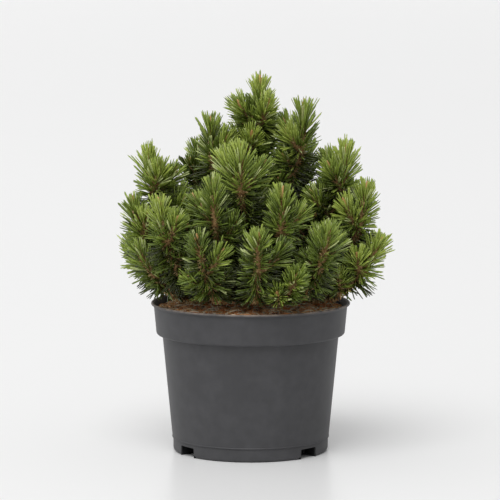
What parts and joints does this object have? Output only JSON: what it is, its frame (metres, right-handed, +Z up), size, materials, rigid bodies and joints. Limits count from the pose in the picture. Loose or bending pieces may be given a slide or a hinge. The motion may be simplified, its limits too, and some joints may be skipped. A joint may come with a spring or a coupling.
{
  "type": "mugo pine in a nursery pot",
  "caption": "Dwarf mountain pine with a dense dome of needled shoots on a short branching stem, standing in a round ribless nursery pot filled with peat.",
  "frame": {"origin": "on the pot's axis, in the plane of its flat underside", "axes": "+Z up along the pot's axis, -Y towards the side the picture shows, +X to that view's right"},
  "size_m": [0.2657, 0.2533, 0.3621],
  "materials": {
    "pot_plastic": "satin moulded, anthracite grey",
    "peat": "loose and crumbly, red-brown with paler fibres",
    "bark": "rough and scaly, grey-brown",
    "needles": "satin, fresh green, darker inside the crown"
  },
  "bodies": {
    "root": {"bough_low_1": "bark", "bough_low_10": "bark", "bough_low_11": "bark", "bough_low_2": "bark", "bough_low_3": "bark", "bough_low_4": "bark", "bough_low_5": "bark", "bough_low_6": "bark", "bough_low_7": "bark", "bough_low_8": "bark", "bough_low_9": "bark", "bough_middle_1": "bark", "bough_middle_2": "bark", "bough_middle_3": "bark", "bough_middle_4": "bark", "bough_middle_5": "bark", "bough_middle_6": "bark", "bough_middle_7": "bark", "bough_middle_8": "bark", "bough_top_1": "bark", "bough_top_2": "bark", "bough_top_3": "bark", "bough_top_4": "bark", "bough_upper_1": "bark", "bough_upper_2": "bark", "bough_upper_3": "bark", "bough_upper_4": "bark", "bough_upper_5": "bark", "mass_low_1": "needles", "mass_low_10": "needles", "mass_low_11": "needles", "mass_low_2": "needles", "mass_low_3": "needles", "mass_low_4": "needles", "mass_low_5": "needles", "mass_low_6": "needles", "mass_low_7": "needles", "mass_low_8": "needles", "mass_low_9": "needles", "mass_middle_1": "needles", "mass_middle_2": "needles", "mass_middle_3": "needles", "mass_middle_4": "needles", "mass_middle_5": "needles", "mass_middle_6": "needles", "mass_middle_7": "needles", "mass_middle_8": "needles", "mass_top_1": "needles", "mass_top_2": "needles", "mass_top_3": "needles", "mass_top_4": "needles", "mass_upper_1": "needles", "mass_upper_2": "needles", "mass_upper_3": "needles", "mass_upper_4": "needles", "mass_upper_5": "needles", "pot": "pot_plastic", "soil": "peat", "trunk": "bark"}
  },
  "joints": []
}
